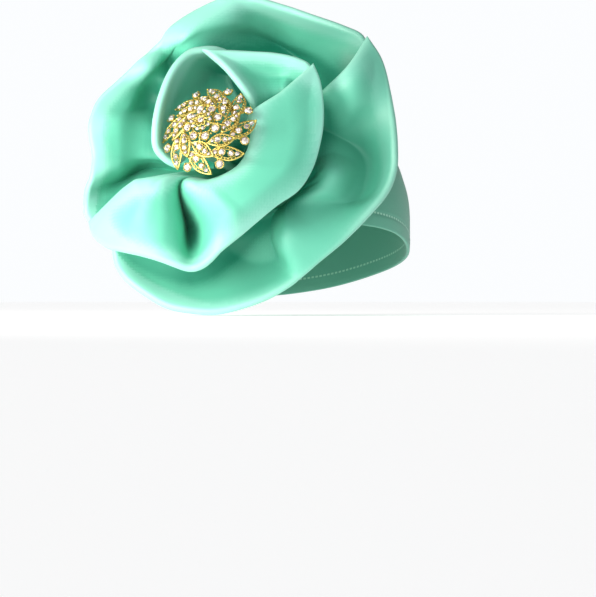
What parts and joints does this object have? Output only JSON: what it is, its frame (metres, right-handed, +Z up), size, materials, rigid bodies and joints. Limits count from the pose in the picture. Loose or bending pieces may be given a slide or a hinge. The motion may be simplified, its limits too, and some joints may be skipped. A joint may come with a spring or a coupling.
{
  "type": "gele head tie",
  "caption": "Ready-tied satin head wrap: a close-fitting smooth cap carrying a very large rosette of folded petals, with a domed jewelled brooch at its heart.",
  "frame": {"origin": "middle of the head opening at brow height, where the cap grips the head", "axes": "+Z up along the wearer's head, the wearer faces -Y and has the left ear at +X; the rosette faces 18 degrees to the wearer's right of straight ahead"},
  "size_m": [0.2517, 0.2369, 0.2285],
  "materials": {
    "cap_cloth": "smooth stretch cloth, dull sheen",
    "petal_satin": "heavy satin, soft sheen",
    "gilt_metal": "polished pale gold plate",
    "clear_stone": "cut clear rhinestone with a foiled back"
  },
  "bodies": {
    "root": {"cap": "cap_cloth", "petal_outer_left": "petal_satin", "petal_outer_right": "petal_satin", "petal_inner_front": "petal_satin", "petal_inner_top": "petal_satin", "petal_centre": "petal_satin", "brooch_setting": "gilt_metal", "brooch_pin": "gilt_metal", "stone_rim_1": "clear_stone", "stone_rim_2": "clear_stone", "stone_rim_3": "clear_stone", "stone_rim_4": "clear_stone", "stone_rim_5": "clear_stone", "stone_rim_6": "clear_stone", "stone_rim_7": "clear_stone", "stone_rim_8": "clear_stone", "stone_outer_1": "clear_stone", "stone_outer_2": "clear_stone", "stone_outer_3": "clear_stone", "stone_outer_4": "clear_stone", "stone_outer_5": "clear_stone", "stone_outer_6": "clear_stone", "stone_outer_7": "clear_stone", "stone_outer_8": "clear_stone", "stone_outer_9": "clear_stone", "stone_outer_10": "clear_stone", "stone_outer_11": "clear_stone", "stone_outer_12": "clear_stone", "stone_outer_13": "clear_stone", "stone_outer_14": "clear_stone", "stone_outer_15": "clear_stone", "stone_outer_16": "clear_stone", "stone_middle_1": "clear_stone", "stone_middle_2": "clear_stone", "stone_middle_3": "clear_stone", "stone_middle_4": "clear_stone", "stone_middle_5": "clear_stone", "stone_middle_6": "clear_stone", "stone_middle_7": "clear_stone", "stone_middle_8": "clear_stone", "stone_middle_9": "clear_stone", "stone_middle_10": "clear_stone", "stone_middle_11": "clear_stone", "stone_middle_12": "clear_stone", "stone_middle_13": "clear_stone", "stone_middle_14": "clear_stone", "stone_middle_15": "clear_stone", "stone_middle_16": "clear_stone", "stone_inner_1": "clear_stone", "stone_inner_2": "clear_stone", "stone_inner_3": "clear_stone", "stone_inner_4": "clear_stone", "stone_inner_5": "clear_stone", "stone_inner_6": "clear_stone", "stone_inner_7": "clear_stone", "stone_inner_8": "clear_stone", "stone_heart": "clear_stone"}
  },
  "joints": []
}
